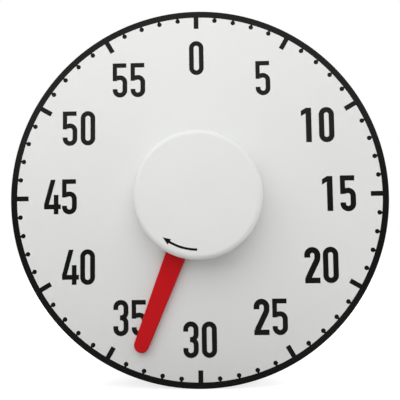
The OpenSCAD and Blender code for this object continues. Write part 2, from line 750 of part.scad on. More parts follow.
module escape_wheel() color(brass) to_wall() at(escape_at, z_escape) difference() {
    rotate(pallet_dir) plate(wheel_t) polygon([
        for (i = [0:escape_teeth - 1])
            let (mid = 360 * i / escape_teeth, pitch = 360 / escape_teeth)
                each [
                    polar(escape_r - escape_tooth, mid - pitch * 0.3), polar(escape_r, mid - pitch * 0.05),
                    polar(escape_r, mid + pitch * 0.05), polar(escape_r - escape_tooth, mid + pitch * 0.3)
                ]
    ]);
    drill([0, 0], small_arbor_d + 2 * press_fit, 0, wheel_t);
}

// ---- escapement ----

slim_arbor_d = small_arbor_d - 0.8;
collar_h = 1;
anchor_hub_r = 1.8;
anchor_arm_r = 0.9;
bar_half = 11;
bar_r = 1;
weight_r = 2;
weight_rise = 0.6;
pallet_pins_at = [for (s = [-1, 1]) escape_at + polar(pallet_reach, pallet_dir + s * pallet_half)];

module pallet_arbor() color(steel) to_wall() at(pallet_at) {
    plain_arbor(slim_arbor_d);
    translate([0, 0, z_anchor - collar_h]) cylinder(d = small_arbor_d, h = collar_h);
}

module pallet_anchor() color(steel) to_wall() difference() {
    plate(wheel_t, z_anchor) for (p = pallet_pins_at) link(pallet_at, anchor_hub_r, p, anchor_arm_r);
    drill(pallet_at, slim_arbor_d + 2 * press_fit, z_anchor, wheel_t);
    for (p = pallet_pins_at) drill(p, 2 * pallet_pin_r + 2 * press_fit, z_anchor, wheel_t);
}

module pallet_pins() color(steel) to_wall() for (p = pallet_pins_at)
    at(p, z_escape) cylinder(r = pallet_pin_r, h = z_anchor + wheel_t - z_escape);

module balance_bar() color(brass) to_wall() at(pallet_at) difference() {
    union() {
        translate([0, 0, z_anchor + wheel_t]) cylinder(r = anchor_hub_r, h = z_second - z_anchor);
        plate(wheel_t, z_second) link([-bar_half, 0], bar_r, [bar_half, 0], bar_r);
        for (x = [-bar_half, bar_half]) at([x, 0], z_second) cylinder(r = weight_r, h = wheel_t + weight_rise);
    }
    drill([0, 0], slim_arbor_d + 2 * press_fit, z_anchor + wheel_t, z_second - z_anchor);
}

// ---- bell ----

cam_hub_r = 4;
z_cam_hub = z_ratchet + ratchet_t;
lever_hub_r = 2.4;
lever_tip_r = 1.4;
lever_collar_w = 0.9;
rivet_d = 1.6;

// The notch lets the hammer's finger drop when the hand is back at zero.
module release_cam() color(steel) to_wall() with_hand() difference() {
    union() {
        translate([0, 0, z_cam_hub]) cylinder(r = cam_hub_r, h = z_cam - z_cam_hub + eps);
        translate([0, 0, z_cam]) cylinder(r = cam_r, h = cam_t);
    }
    drill([0, 0], arbor_d + 2 * press_fit, z_cam_hub, z_cam + cam_t - z_cam_hub);
    rotate(heading([0, 0], finger_at)) translate([cam_r - 2 * finger_r, -2 * finger_r, z_cam - eps])
        cube([4 * finger_r, 4 * finger_r, cam_t + 2 * eps]);
}

module star_wheel() color(brass) to_wall() at(second_at) difference() {
    union() {
        translate([0, 0, z_second + wheel_t]) cylinder(r = lever_hub_r, h = level_gap + eps);
        plate(wheel_t, z_cam) polygon([
            for (i = [0:star_teeth - 1], s = [0, 1])
                polar(star_r - s * star_tooth, 360 * (i + s * 0.3) / star_teeth)
        ]);
    }
    drill([0, 0], small_arbor_d + 2 * press_fit, z_second + wheel_t, level_gap + wheel_t);
}

module hammer_arbor() color(steel) to_wall() at(hammer_at) {
    plain_arbor(slim_arbor_d);
    translate([0, 0, z_cam - collar_h]) cylinder(r = slim_arbor_d / 2 + lever_collar_w, h = collar_h);
}

module hammer_lever() color(steel) to_wall() difference() {
    plate(wheel_t, z_cam) {
        link(hammer_at, lever_hub_r, head_at, lever_tip_r);
        link(hammer_at, lever_hub_r, finger_at, finger_r);
        link(hammer_at, lever_hub_r, tail_at, finger_r);
    }
    drill(hammer_at, slim_arbor_d + 2 * press_fit, z_cam, wheel_t);
    drill(head_at, rivet_d + 2 * press_fit, z_cam, wheel_t);
}

module hammer_head() color(brass) to_wall() at(head_at) {
    translate([0, 0, z_cam - hammer_head_l]) cylinder(d = hammer_head_d, h = hammer_head_l);
    translate([0, 0, z_cam - eps]) cylinder(d = rivet_d, h = wheel_t + eps);
}

// A leaf coiled once round the near pillar, which leans on the hammer's arm.
leaf_t = 0.3;
leaf_sweep = 255;
leaf_pillar = pillars_at[2];
leaf_r = hook_in + leaf_t / 2;
leaf_lean = (lever_hub_r + lever_tip_r + leaf_t) / 2;
leaf_end = (hammer_at + head_at) / 2 + polar(leaf_lean, heading(hammer_at, head_at) + 90);
leaf_turn = heading(leaf_pillar, leaf_end) - acos(leaf_r / norm(leaf_end - leaf_pillar));

module hammer_spring() color(dark_steel) to_wall() plate(wheel_t, z_cam) polygon(ribbon(concat(
    [for (a = [-leaf_sweep:hook_step:0]) leaf_pillar + polar(leaf_r, leaf_turn + a)], [leaf_end]
), leaf_t));

// Half section of a bowl, its crown at z = 0 and its rim up.
gong_flat = 6;
function bowl(r, h) = [
    for (a = [0:10:90]) [gong_flat + (r - gong_flat) * sin(a), h * (1 - cos(a))]
];
function reversed(list) = [for (i = [len(list) - 1:-1:0]) list[i]];

module gong() color(steel) to_wall() at(gong_at, z_gong_back) difference() {
    rotate_extrude($fn = 96) polygon(concat(
        [[0, 0]], bowl(gong_d / 2, gong_h),
        reversed([for (p = bowl(gong_d / 2 - gong_t, gong_h - gong_t)) p + [0, gong_t]]),
        [[0, gong_t]]
    ));
    drill([0, 0], screw_d + 2 * free_fit, 0, gong_t);
}

module gong_post() color(brass) to_wall() at(gong_at) difference() {
    union() {
        translate([0, 0, z_gong]) cylinder(d = boss_d, h = z_in - rib_h - z_gong, $fn = 6);
        translate([0, 0, z_in - rib_h - eps]) cylinder(d = screw_d, h = rib_h + eps);
    }
    blind([0, 0], screw_d + 2 * press_fit, z_gong, gong_screw_l - gong_t + screw_spare);
}

module gong_screw() color(steel) to_wall()
    at(gong_at, z_gong_back) screw(screw_d, gong_screw_l, screw_head_d, screw_head_t);

front_housing();
dial_plate();
rear_cover();
cover_screws();
board_magnets();
knob_cap();
pointer_hand();
front_plate();
rear_plate();
plate_pillars();
pillar_screws();
movement_screws();
front_bush();
main_arbor();
mainspring();
great_wheel();
ratchet_wheel();
click();
click_stud();
click_spring();
click_spring_pin();
stop_arm();
stop_pin();
second_arbor();
second_wheel();
star_wheel();
third_arbor();
third_wheel();
escape_arbor();
escape_wheel();
pallet_arbor();
pallet_anchor();
pallet_pins();
balance_bar();
release_cam();
hammer_arbor();
hammer_lever();
hammer_head();
hammer_spring();
gong();
gong_post();
gong_screw();
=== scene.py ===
# %% [markdown]
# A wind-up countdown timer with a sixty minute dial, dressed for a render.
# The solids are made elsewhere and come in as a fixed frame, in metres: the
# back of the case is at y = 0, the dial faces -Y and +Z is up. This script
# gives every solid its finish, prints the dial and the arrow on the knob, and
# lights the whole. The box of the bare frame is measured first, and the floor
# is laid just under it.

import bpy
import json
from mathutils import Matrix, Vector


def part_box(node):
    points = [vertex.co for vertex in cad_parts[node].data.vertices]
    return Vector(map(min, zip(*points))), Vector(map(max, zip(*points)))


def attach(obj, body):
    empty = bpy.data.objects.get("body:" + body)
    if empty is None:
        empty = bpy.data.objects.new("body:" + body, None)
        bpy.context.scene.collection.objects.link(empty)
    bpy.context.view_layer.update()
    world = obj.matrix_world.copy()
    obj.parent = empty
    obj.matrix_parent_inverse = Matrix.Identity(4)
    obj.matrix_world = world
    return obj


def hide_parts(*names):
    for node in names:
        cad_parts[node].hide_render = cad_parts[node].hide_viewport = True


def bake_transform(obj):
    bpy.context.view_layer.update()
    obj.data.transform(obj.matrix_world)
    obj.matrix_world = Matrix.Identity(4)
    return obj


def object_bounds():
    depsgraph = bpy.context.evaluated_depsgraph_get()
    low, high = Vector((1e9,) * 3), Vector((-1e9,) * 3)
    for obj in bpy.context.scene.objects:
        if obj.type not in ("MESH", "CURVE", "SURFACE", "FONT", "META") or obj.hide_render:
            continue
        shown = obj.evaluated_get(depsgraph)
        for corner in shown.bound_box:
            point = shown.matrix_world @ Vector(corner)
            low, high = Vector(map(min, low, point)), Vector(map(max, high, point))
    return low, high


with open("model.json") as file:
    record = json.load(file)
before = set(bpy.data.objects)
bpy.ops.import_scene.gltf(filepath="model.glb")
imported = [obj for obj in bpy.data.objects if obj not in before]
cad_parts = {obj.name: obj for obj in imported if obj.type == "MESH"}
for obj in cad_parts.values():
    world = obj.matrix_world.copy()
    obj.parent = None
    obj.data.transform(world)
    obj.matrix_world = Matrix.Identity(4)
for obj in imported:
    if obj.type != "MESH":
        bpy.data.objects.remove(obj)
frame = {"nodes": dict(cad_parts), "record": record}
cad_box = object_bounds()

# %% [markdown]
# Blender works in metres, but a timer is easier to think of in millimetres, so
# sizes are written in millimetres and multiplied by MM. The Standard view
# shows each colour as it is written, without a film look.

# %% Modules and units
import json
import math

import bmesh
import bpy
from mathutils import Matrix, Vector

MM = 0.001
scene = bpy.context.scene
scene.view_settings.view_transform = "Standard"

# %% [markdown]
# The camera stands a good quarter of a metre in front of the dial and a little
# under its middle, and looks slightly up. From so near, the knob hides more of
# the dial on one side than on the other, so the distance matters as much as
# the direction. A 51 mm lens on a 36 mm sensor then just takes in the dial.

# %% Camera
CAMERA_AT = (7.715, -295.158, -19.982)      # mm
CAMERA_TURN = (93.855, 0.785, 1.537)        # degrees; 90, 0, 0 looks level at the dial
SENSOR_W, LENS = 36, 51.04                  # mm

camera = bpy.data.objects.new("camera", bpy.data.cameras.new("camera"))
scene.collection.objects.link(camera)
scene.camera = camera
camera.data.sensor_width = SENSOR_W
camera.data.lens = LENS
camera.location = Vector(CAMERA_AT) * MM
camera.rotation_euler = [math.radians(a) for a in CAMERA_TURN]

dial_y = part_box("dial_plate")[0].y
print("camera to dial, mm", round((dial_y - camera.location.y) / MM, 1))

# %% [markdown]
# A material is a small graph of nodes. One function adds a node, sets its
# options and fills its sockets: a value is typed in, and an output of another
# node is linked. Colours are written as on a paint chart, in sRGB hex, and one
# function turns them into the linear numbers that light is worked out with.

# %% Colour and node helpers
def linear(hex_colour):
    """A colour such as "#C8102E" as linear red, green, blue and alpha."""
    shares = [int(hex_colour[i:i + 2], 16) / 255 for i in (1, 3, 5)]
    return [c / 12.92 if c <= 0.04045 else ((c + 0.055) / 1.055) ** 2.4 for c in shares] + [1]


def add(tree, kind, options=None, inputs=None):
    """Adds one node to a tree, sets its options and fills its input sockets."""
    node = tree.nodes.new("ShaderNode" + kind)
    for name, value in (options or {}).items():
        setattr(node, name, value)
    for name, value in (inputs or {}).items():
        if isinstance(value, bpy.types.NodeSocket):
            tree.links.new(value, node.inputs[name])
        else:
            node.inputs[name].default_value = value
    return node


def start_material(name):
    """An empty material and its tree, with Object coordinates ready to use."""
    made = bpy.data.materials.new(name)
    made.use_nodes = True
    made.node_tree.nodes.clear()
    return made, made.node_tree, add(made.node_tree, "TexCoord").outputs["Object"]


def end_material(tree, shader):
    """Links a finished surface shader to the material's output."""
    add(tree, "OutputMaterial", inputs={"Surface": shader})


print("mid grey in linear light", [round(c, 3) for c in linear("#808080")[:3]])

# %% [markdown]
# Moulded ABS is the white, slightly warm plastic of the housing, the cover and
# the knob. The steel mould is spark eroded, which leaves fine grains half a
# millimetre apart, so the gloss is broken into a satin sheen. A fine noise as
# bump gives that grain, and a slow noise makes the sheen wander a little, as
# handled plastic does.

# %% White moulded ABS
GRAIN = 0.5         # from one grain of the mould to the next, mm
HANDLED = 22        # size of a patch that hands have polished, mm


def spark_eroded_abs(name, base, dust, roughness):
    """White moulded plastic with a fine grain and a sheen that wanders round a roughness."""
    made, tree, place = start_material(name)
    handled = add(tree, "TexNoise", inputs={
        "Vector": place, "Scale": 1 / (HANDLED * MM), "Detail": 3})
    grain = add(tree, "TexNoise", inputs={
        "Vector": place, "Scale": 1 / (GRAIN * MM), "Detail": 2})
    colour = add(tree, "Mix", {"data_type": "RGBA"}, {
        "Factor": handled.outputs["Fac"], "A": linear(base), "B": linear(dust)})
    sheen = add(tree, "MapRange", inputs={
        "Value": handled.outputs["Fac"], "From Min": 0.3, "From Max": 0.7,
        "To Min": roughness - 0.04, "To Max": roughness + 0.04})
    bump = add(tree, "Bump", inputs={
        "Height": grain.outputs["Fac"], "Strength": 0.12, "Distance": 0.03 * MM})
    body = add(tree, "BsdfPrincipled", inputs={
        "Base Color": colour.outputs["Result"], "Roughness": sheen.outputs["Result"],
        "Normal": bump.outputs["Normal"], "IOR": 1.53, "Specular IOR Level": 0.25})
    end_material(tree, body.outputs["BSDF"])
    return made


abs_housing = spark_eroded_abs("abs_moulded_housing", "#E2E2DE", "#DCDCD7", 0.46)
abs_knob = spark_eroded_abs("abs_moulded_knob", "#E7E8E5", "#E2E3E0", 0.42)
print("made", abs_housing.name, abs_knob.name)

# %% [markdown]
# The dial is a matt white polystyrene sheet. It takes ink well because its
# surface is even, so almost nothing shows but a very faint unevenness of the
# white and a soft, wide highlight.

# %% White printed sheet
CLOUD = 45          # size of a patch of slightly uneven white, mm
TOOTH = 0.35        # from one bump of the sheet's surface to the next, mm

made, tree, place = start_material("polystyrene_dial_sheet")
cloud = add(tree, "TexNoise", inputs={"Vector": place, "Scale": 1 / (CLOUD * MM), "Detail": 4})
tooth = add(tree, "TexNoise", inputs={"Vector": place, "Scale": 1 / (TOOTH * MM), "Detail": 2})
white = add(tree, "Mix", {"data_type": "RGBA"}, {
    "Factor": cloud.outputs["Fac"], "A": linear("#E6E7E5"), "B": linear("#E1E2E0")})
bump = add(tree, "Bump", inputs={
    "Height": tooth.outputs["Fac"], "Strength": 0.08, "Distance": 0.02 * MM})
sheet = add(tree, "BsdfPrincipled", inputs={
    "Base Color": white.outputs["Result"], "Roughness": 0.6, "IOR": 1.59,
    "Specular IOR Level": 0.2, "Normal": bump.outputs["Normal"]})
end_material(tree, sheet.outputs["BSDF"])
dial_sheet = made
print("made", dial_sheet.name)

# %% [markdown]
# Screen ink is a film of black pigment some hundredths of a millimetre thick.
# The pigment is as black as soot, but the dried film has a slight gloss, so the
# marks near the window turn grey and those far from it stay black. The film
# follows the mesh that it was pressed through, which softens that gloss. Real
# threads are a tenth of a millimetre apart, too fine to show, so the mesh is
# drawn coarser.

# %% Black screen ink
MESH = 0.4          # from one thread of the screen's mesh to the next, mm

made, tree, place = start_material("black_screen_ink")
mesh_mark = add(tree, "TexNoise", inputs={"Vector": place, "Scale": 1 / (MESH * MM), "Detail": 2})
density = add(tree, "Mix", {"data_type": "RGBA"}, {
    "Factor": mesh_mark.outputs["Fac"], "A": linear("#010101"), "B": linear("#030303")})
bump = add(tree, "Bump", inputs={
    "Height": mesh_mark.outputs["Fac"], "Strength": 0.1, "Distance": 0.01 * MM})
ink = add(tree, "BsdfPrincipled", inputs={
    "Base Color": density.outputs["Result"], "Roughness": 0.22, "IOR": 1.5,
    "Specular IOR Level": 0.09, "Normal": bump.outputs["Normal"]})
end_material(tree, ink.outputs["BSDF"])
black_ink = made
print("made", black_ink.name)

# %% [markdown]
# The hand is moulded in red ABS. The pigment is strong, so the colour is deep
# and even, and the mould is smoother than the housing's: the highlight is
# tighter and shows along the bevelled edges.

# %% Red moulded ABS
FLOW = 12           # width of a streak where the pigment flowed into the mould, mm

made, tree, place = start_material("abs_moulded_red")
flow = add(tree, "TexNoise", inputs={"Vector": place, "Scale": 1 / (FLOW * MM), "Detail": 3})
grain = add(tree, "TexNoise", inputs={"Vector": place, "Scale": 1 / (GRAIN * MM), "Detail": 2})
red = add(tree, "Mix", {"data_type": "RGBA"}, {
    "Factor": flow.outputs["Fac"], "A": linear("#C90B14"), "B": linear("#C00912")})
bump = add(tree, "Bump", inputs={
    "Height": grain.outputs["Fac"], "Strength": 0.08, "Distance": 0.02 * MM})
body = add(tree, "BsdfPrincipled", inputs={
    "Base Color": red.outputs["Result"], "Roughness": 0.32, "IOR": 1.53,
    "Specular IOR Level": 0.12, "Normal": bump.outputs["Normal"]})
end_material(tree, body.outputs["BSDF"])
abs_red = made
print("made", abs_red.name)

# %% [markdown]
# The metals of the movement differ by how they were worked. One recipe serves
# them all: a metal colour that wanders towards a second one, as plating and
# tarnish do, and fine marks stretched along the direction of the work. Rolled
# sheet is marked along its length, turned rods round their axis, and spun or
# ground faces hardly at all.

# %% Worked metals
def worked_metal(name, base, tint, patch_mm, mark_mm, roughness, depth):
    """A metal with patches of a given size and marks of a given spacing along x, y and z."""
    made, tree, place = start_material(name)
    patch = add(tree, "TexNoise", inputs={
        "Vector": place, "Scale": 1 / (patch_mm * MM), "Detail": 4})
    along = add(tree, "Mapping", inputs={
        "Vector": place, "Scale": [1 / (m * MM) for m in mark_mm]})
    marks = add(tree, "TexNoise", inputs={
        "Vector": along.outputs["Vector"], "Scale": 1, "Detail": 3})
    colour = add(tree, "Mix", {"data_type": "RGBA"}, {
        "Factor": patch.outputs["Fac"], "A": linear(base), "B": linear(tint)})
    gloss = add(tree, "MapRange", inputs={
        "Value": marks.outputs["Fac"], "From Min": 0.3, "From Max": 0.7,
        "To Min": roughness - 0.06, "To Max": roughness + 0.08})
    bump = add(tree, "Bump", inputs={
        "Height": marks.outputs["Fac"], "Strength": depth, "Distance": 0.02 * MM})
    metal = add(tree, "BsdfPrincipled", inputs={
        "Base Color": colour.outputs["Result"], "Metallic": 1,
        "Roughness": gloss.outputs["Result"], "Normal": bump.outputs["Normal"]})
    end_material(tree, metal.outputs["BSDF"])
    return made


zinc_plate = worked_metal("zinc_plated_steel", "#C3C7CC", "#AEB3BA", 3, (4, 4, 0.25), 0.34, 0.2)
turned_steel = worked_metal("turned_steel", "#BDBEC2", "#A4A6AB", 6, (4, 0.25, 4), 0.24, 0.25)
blued_spring = worked_metal("blued_spring_steel", "#39445E", "#2A3046", 5, (4, 0.4, 4), 0.28, 0.15)
rolled_brass = worked_metal("rolled_brass", "#CDB064", "#B59348", 7, (0.3, 4, 4), 0.32, 0.1)
gong_nickel = worked_metal("nickel_plated_gong", "#CFCDC8", "#BBB8B2", 9, (3, 3, 3), 0.14, 0.1)
magnet_nickel = worked_metal("nickel_plated_magnet", "#BFC0C3", "#A2A5A9", 6, (5, 5, 5), 0.2, 0.12)
print("gong and magnets", gong_nickel.name, magnet_nickel.name)

# %% [markdown]
# The parts list names a finish for every solid. A solid's own mesh holds one
# material slot per colour, and the slot is set to take its material from the
# object, so the mesh itself stays as it came. The knob is moulded from the
# same plastic as the housing in a mould of its own, a little whiter, so it
# gets its own material after the loop.

# %% Finish of every solid
finishes = {
    "white_abs": abs_housing, "dial_white": dial_sheet, "red_plastic": abs_red,
    "plated_steel": zinc_plate, "arbor_steel": turned_steel, "spring_steel": blued_spring,
    "brass": rolled_brass, "gong_steel": gong_nickel, "magnet_nickel": magnet_nickel}
for part in frame["record"]["subparts"]:
    solid = frame["nodes"][part["node"]]
    for holder in solid.material_slots:
        holder.link = "OBJECT"
        holder.material = finishes[part["material_slot"]]
for holder in frame["nodes"]["knob_cap"].material_slots:
    holder.material = abs_knob

# %% [markdown]
# All printed marks are drawn flat, in millimetres, as the dial is read, and
# are given the thickness of a generous film of ink. The black numerals have
# strokes of one width with round bowls, so they are drawn as a sign writer
# would, with a flat nib. The nib is one edge of a mesh, as long as the stroke
# is wide, and it stands square to the way that the stroke goes.

# %% The nib
def direction(heading):
    """A step of 1 mm along a heading, in degrees from the x axis."""
    return Matrix.Rotation(math.radians(heading), 3, "Z") @ Vector((1, 0, 0))


def nib_at(spot, width, heading):
    """A new bmesh with the nib as its one edge, square to the heading in degrees."""
    bm = bmesh.new()
    side = Matrix.Rotation(math.radians(heading), 3, "Z") @ Vector((0, width / 2, 0))
    bm.edges.new([bm.verts.new(spot + side), bm.verts.new(spot - side)])
    return bm, bm.edges[:]


print("a nib 2 mm wide has", len(nib_at(Vector((0, 0, 0)), 2, 0)[1]), "edge")

# %% [markdown]
# A stroke is what the nib leaves behind. On a straight the edge is extruded and
# moved on, and on a curve it is spun round the middle of the curve. It can also
# slide sideways without turning, which makes a slanting stroke with level ends.
# Every stroke is then thickened to a thin solid. Curves are kept as coarse as
# the eye allows, because sixty marks and twelve numerals add up.

# %% Strokes
INK = 0.04          # thickness of the ink, mm
CHORD = 1.6         # longest straight side on a curve, mm
CHORD_TURN = 7.5    # most that a curve turns between two sides, degrees
WELD = 0.001        # corners nearer than this become one, mm


def stroke(width, start, heading, moves):
    """A flat stroke, thickened to a solid, from its moves.

    "go" pulls the nib on by a length, "turn" spins it with a radius and an
    angle, which is positive to the left, and "slide" shifts it by x and y.
    """
    spot = Vector((*start, 0))
    bm, nib = nib_at(spot, width, heading)
    for kind, *size in moves:
        way = direction(heading)
        if kind == "turn":
            radius, angle = size[0], math.radians(size[1])
            middle = spot + Vector((-way.y, way.x, 0)) * math.copysign(radius, angle)
            sides = abs(angle) * radius / CHORD
            steps = math.ceil(max(abs(angle) / math.radians(CHORD_TURN), sides))
            last = bmesh.ops.spin(
                bm, geom=nib, cent=middle, axis=(0, 0, 1), angle=angle, steps=steps)
            nib = [e for e in last["geom_last"] if isinstance(e, bmesh.types.BMEdge)]
            spot = middle + Matrix.Rotation(angle, 3, "Z") @ (spot - middle)
            heading += size[1]
        else:
            step = way * size[0] if kind == "go" else Vector((*size, 0))
            new = bmesh.ops.extrude_edge_only(bm, edges=nib)["geom"]
            corners = [v for v in new if isinstance(v, bmesh.types.BMVert)]
            bmesh.ops.translate(bm, vec=step, verts=corners)
            nib = [e for e in corners[0].link_edges if e.other_vert(corners[0]) is corners[1]]
            spot = spot + step
    bmesh.ops.remove_doubles(bm, verts=bm.verts, dist=WELD)
    return thickened(bm)


def thickened(bm):
    """Gives a flat drawing the thickness of the ink, from 0 up."""
    top = bmesh.ops.extrude_face_region(bm, geom=bm.faces[:], use_keep_orig=True)["geom"]
    top = [v for v in top if isinstance(v, bmesh.types.BMVert)]
    bmesh.ops.translate(bm, vec=(0, 0, INK), verts=top)
    bmesh.ops.recalc_face_normals(bm, faces=bm.faces)
    return bm


print("a 10 mm stroke has", len(stroke(2, (0, 0), 0, [("go", 10)]).faces), "faces")

# %% [markdown]
# Strokes that cross could be left to run through each other, but then walls
# would stand inside the printed film. Boolean modifiers join them to one clean
# body instead. Drawings that don't touch are only gathered in one mesh.

# %% Joining and gathering
FLAT = 0.5          # faces that meet at less than this angle become one, degrees


def joined(parts):
    """One clean body from several thin solids that cross."""
    holders = []
    for bm in parts:
        mesh = bpy.data.meshes.new("stroke")
        bm.to_mesh(mesh)
        bm.free()
        holders.append(bpy.data.objects.new("stroke", mesh))
        scene.collection.objects.link(holders[-1])
    for other in holders[1:]:
        cut = holders[0].modifiers.new("join", "BOOLEAN")
        cut.operation, cut.solver, cut.object = "UNION", "EXACT", other
    bpy.context.view_layer.update()
    seen = holders[0].evaluated_get(bpy.context.evaluated_depsgraph_get())
    whole = bmesh.new()
    whole.from_mesh(seen.to_mesh())
    for holder in holders:
        bpy.data.meshes.remove(holder.data)
    bmesh.ops.dissolve_limit(
        whole, angle_limit=math.radians(FLAT), verts=whole.verts, edges=whole.edges)
    return whole


def gather(whole, bm):
    """Adds one drawing to another and lets it go."""
    mesh = bpy.data.meshes.new("drawing")
    bm.to_mesh(mesh)
    bm.free()
    whole.from_mesh(mesh)
    bpy.data.meshes.remove(mesh)


cross = joined([stroke(2, (-5, 0), 0, [("go", 10)]), stroke(2, (0, -5), 90, [("go", 10)])])
print("a cross of two strokes has", len(cross.verts), "corners")
cross.free()

# %% [markdown]
# A finished drawing is stood up on the dial: x stays, y becomes height, and the
# ink's thickness points to the reader. It is then one piece of the timer, with
# a finish, and rides on the body that it is printed on. Places on a dial are
# easiest to give as on a clock, by a radius and an angle from the top.

# %% From a drawing to a piece
def piece(name, bm, finish):
    """Makes a bmesh that is in metres into a piece of the timer and finish."""
    mesh = bpy.data.meshes.new(name)
    bm.to_mesh(mesh)
    bm.free()
    mesh.materials.append(finish)
    made = bpy.data.objects.new(name, mesh)
    scene.collection.objects.link(made)
    return made


def printed(name, bm, body):
    """A printed mark in black ink, which rides on the body it is printed on."""
    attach(piece(name, bm, black_ink), body)


def stand_up(bm, face_y):
    """Turns a drawing in millimetres upright in front of a face at y, and makes it metres."""
    upright = Matrix.Translation((0, face_y, 0)) @ Matrix.Rotation(math.radians(90), 4, "X")
    bmesh.ops.transform(bm, matrix=upright @ Matrix.Scale(MM, 4), verts=bm.verts)
    return bm


def polar(radius, clock):
    """A point so far from the middle, at an angle in degrees clockwise from the top."""
    return Vector((radius * math.sin(math.radians(clock)), radius * math.cos(math.radians(clock))))


print("ten past is at", [round(v, 1) for v in polar(66, 60)], "mm on the 66 mm circle")

# %% [markdown]
# The minute ring is a black band on the very edge of the dial. A bar runs in
# from it at every fifth minute, and the minutes between have a round dot on a
# short stem, like pins stuck into the band.

# %% Minute ring
RING_IN, RING_OUT = 87.05, 90               # radii, mm
BAR_IN, BAR_W = 81.5, 2.3                   # a bar's inner end and width, mm
DOT_AT, DOT_D, STEM_W = 85.8, 2.2, 1        # a dot's radius on the dial, size and stem, mm
DOT_SIDES = 24                              # so many that a dot looks round
SUNK = 0.3                                  # how far a mark runs into the ring, mm

ring_mid = (RING_IN + RING_OUT) / 2
ring = stroke(RING_OUT - RING_IN, (ring_mid, 0), 90, [("turn", ring_mid, 360)])
lines, dots = bmesh.new(), bmesh.new()
for minute in range(60):
    clock = minute * 6
    start, width = (BAR_IN, BAR_W) if minute % 5 == 0 else (DOT_AT, STEM_W)
    mark = stroke(width, polar(start, clock), 90 - clock, [("go", RING_IN + SUNK - start)])
    gather(lines, mark)
    if minute % 5:
        bmesh.ops.create_circle(
            dots, cap_ends=True, segments=DOT_SIDES, radius=DOT_D / 2,
            matrix=Matrix.Translation((*polar(DOT_AT, clock), 0)))
marks = joined([ring, lines, thickened(dots)])
print("ring faces", len(marks.faces))
printed("dial_minute_ring", stand_up(marks, dial_y), "case")

# %% [markdown]
# The numerals are narrow, upright and bold, in the manner of road signs. Each
# figure is a few strokes in a box 16.6 mm high: the width of the nib, where it
# starts, the way it heads, and its moves.

# %% Figures
FIGURE_H = 16.6     # mm
FIGURES = {
    "0": [(2.25, (1.08, 13.15), 90, [
        ("turn", 2.37, -180), ("go", 9.7), ("turn", 2.37, -180), ("go", 9.7)])],
    "1": [(2.4, (3.65, 0), 90, [("go", FIGURE_H)]),
          (2.3, (0.05, 13.85), 0, [("slide", 2.5, 1.5), ("go", 0.4)])],
    "2": [(2.5, (1.2, 11.8), 90, [
        ("go", 1.2), ("turn", 2.38, -180), ("go", 1), ("turn", 4, -26.7), ("go", 9.1)]),
          (2.35, (0, 1.12), 0, [("go", 7.1)])],
    "3": [(2.25, (1.1, 12.1), 90, [
        ("go", 1.1), ("turn", 2.42, -180), ("go", 2.4), ("turn", 2.4, -90), ("go", 0.5)]),
          (2.25, (3.4, 8.4), 0, [
        ("go", 0.14), ("turn", 2.4, -90), ("go", 2.55), ("turn", 2.42, -180), ("go", 1.1)])],
    "4": [(2.25, (4.3, FIGURE_H), -90, [("slide", -3.2, -12), ("go", 2)]),
          (2.2, (0, 3.55), 0, [("go", 8)]),
          (2.15, (5.75, 9.3), -90, [("go", 9.3)])],
    "5": [(2.15, (0, 15.57), 0, [("go", 6.6)]),
          (2.05, (0.98, FIGURE_H), -90, [("go", 8.65)]),
          (2.25, (1.71, 9.11), 33, [
        ("turn", 3.2, -33), ("turn", 2.38, -90), ("go", 3.85), ("turn", 2.38, -180), ("go", 0.6)])],
}


def figure(digit, spread):
    """A figure whose ink has spread its strokes by so much, in mm."""
    return joined([stroke(width + spread, *rest) for width, *rest in FIGURES[digit]])


print("strokes of each figure", {digit: len(strokes) for digit, strokes in FIGURES.items()})

# %% [markdown]
# A numeral of two figures is set with its figures 8.7 mm apart, whatever they
# are, as on a typewriter. The numerals stand upright all round the dial, each
# with its middle near the 66 mm circle. Ink spreads a little on the sheet, and
# most where the squeegee pressed hardest, on the dial's right, so each numeral
# has a place and a spread of its own.

# %% Numerals
FIGURE_STEP = 8.7   # from one figure to the next, mm
FIGURE_W = 6.9      # width of a figure, mm
# x and y of each numeral's middle and the spread of its ink, mm
LAYOUT = {
    "0": (-0.1, 67.05, 0), "5": (31.8, 56.55, 0), "10": (57.3, 33.3, 0.28),
    "15": (66.45, 0.3, 0.32), "20": (57.4, -33.3, 0.28), "25": (33.1, -57.1, 0.15),
    "30": (-0.1, -67.4, 0.12), "35": (-33, -57, 0.07), "40": (-57.4, -32.9, 0.08),
    "45": (-66.15, 0.7, 0.1), "50": (-57.2, 33.7, 0.05), "55": (-32.9, 56.85, 0.05)}
for label, (x, y, spread) in LAYOUT.items():
    numeral = bmesh.new()
    wide = FIGURE_STEP * (len(label) - 1) + FIGURE_W
    for place_no, digit in enumerate(label):
        shown = figure(digit, spread)
        corner = (x - wide / 2 + FIGURE_STEP * place_no, y - FIGURE_H / 2, 0)
        bmesh.ops.translate(shown, vec=corner, verts=shown.verts)
        gather(numeral, shown)
    print("numeral", label, "faces", len(numeral.faces))
    printed("dial_numeral_" + label, stand_up(numeral, dial_y), "case")

# %% [markdown]
# The knob's face carries one curved arrow, which says which way to wind. It
# starts on the right of the hand and runs clockwise past its left, and it is
# printed in the same ink in the shallow dish of the face, where thumbs don't
# wear it. Its shaft is a stroke, and its head is a stroke whose nib is shrunk
# to a point at the far end.

# %% Arrow on the knob
HAND_AT = 201.5                             # where the hand points, degrees from the top
TAIL, TIP = HAND_AT - 20.5, HAND_AT + 18    # the arrow's ends, degrees from the top
ARROW_R, ARROW_W = 25.05, 1.05              # radius and width of its shaft, mm
HEAD_L, HEAD_W = 3.7, 2.9                   # length and width of its head, mm
OVERLAP = 0.1                               # share of the head that the shaft runs into
DISH = 0.05                                 # depth of the dish in the knob's face, mm
knob_face_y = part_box("knob_cap")[0].y + DISH * MM

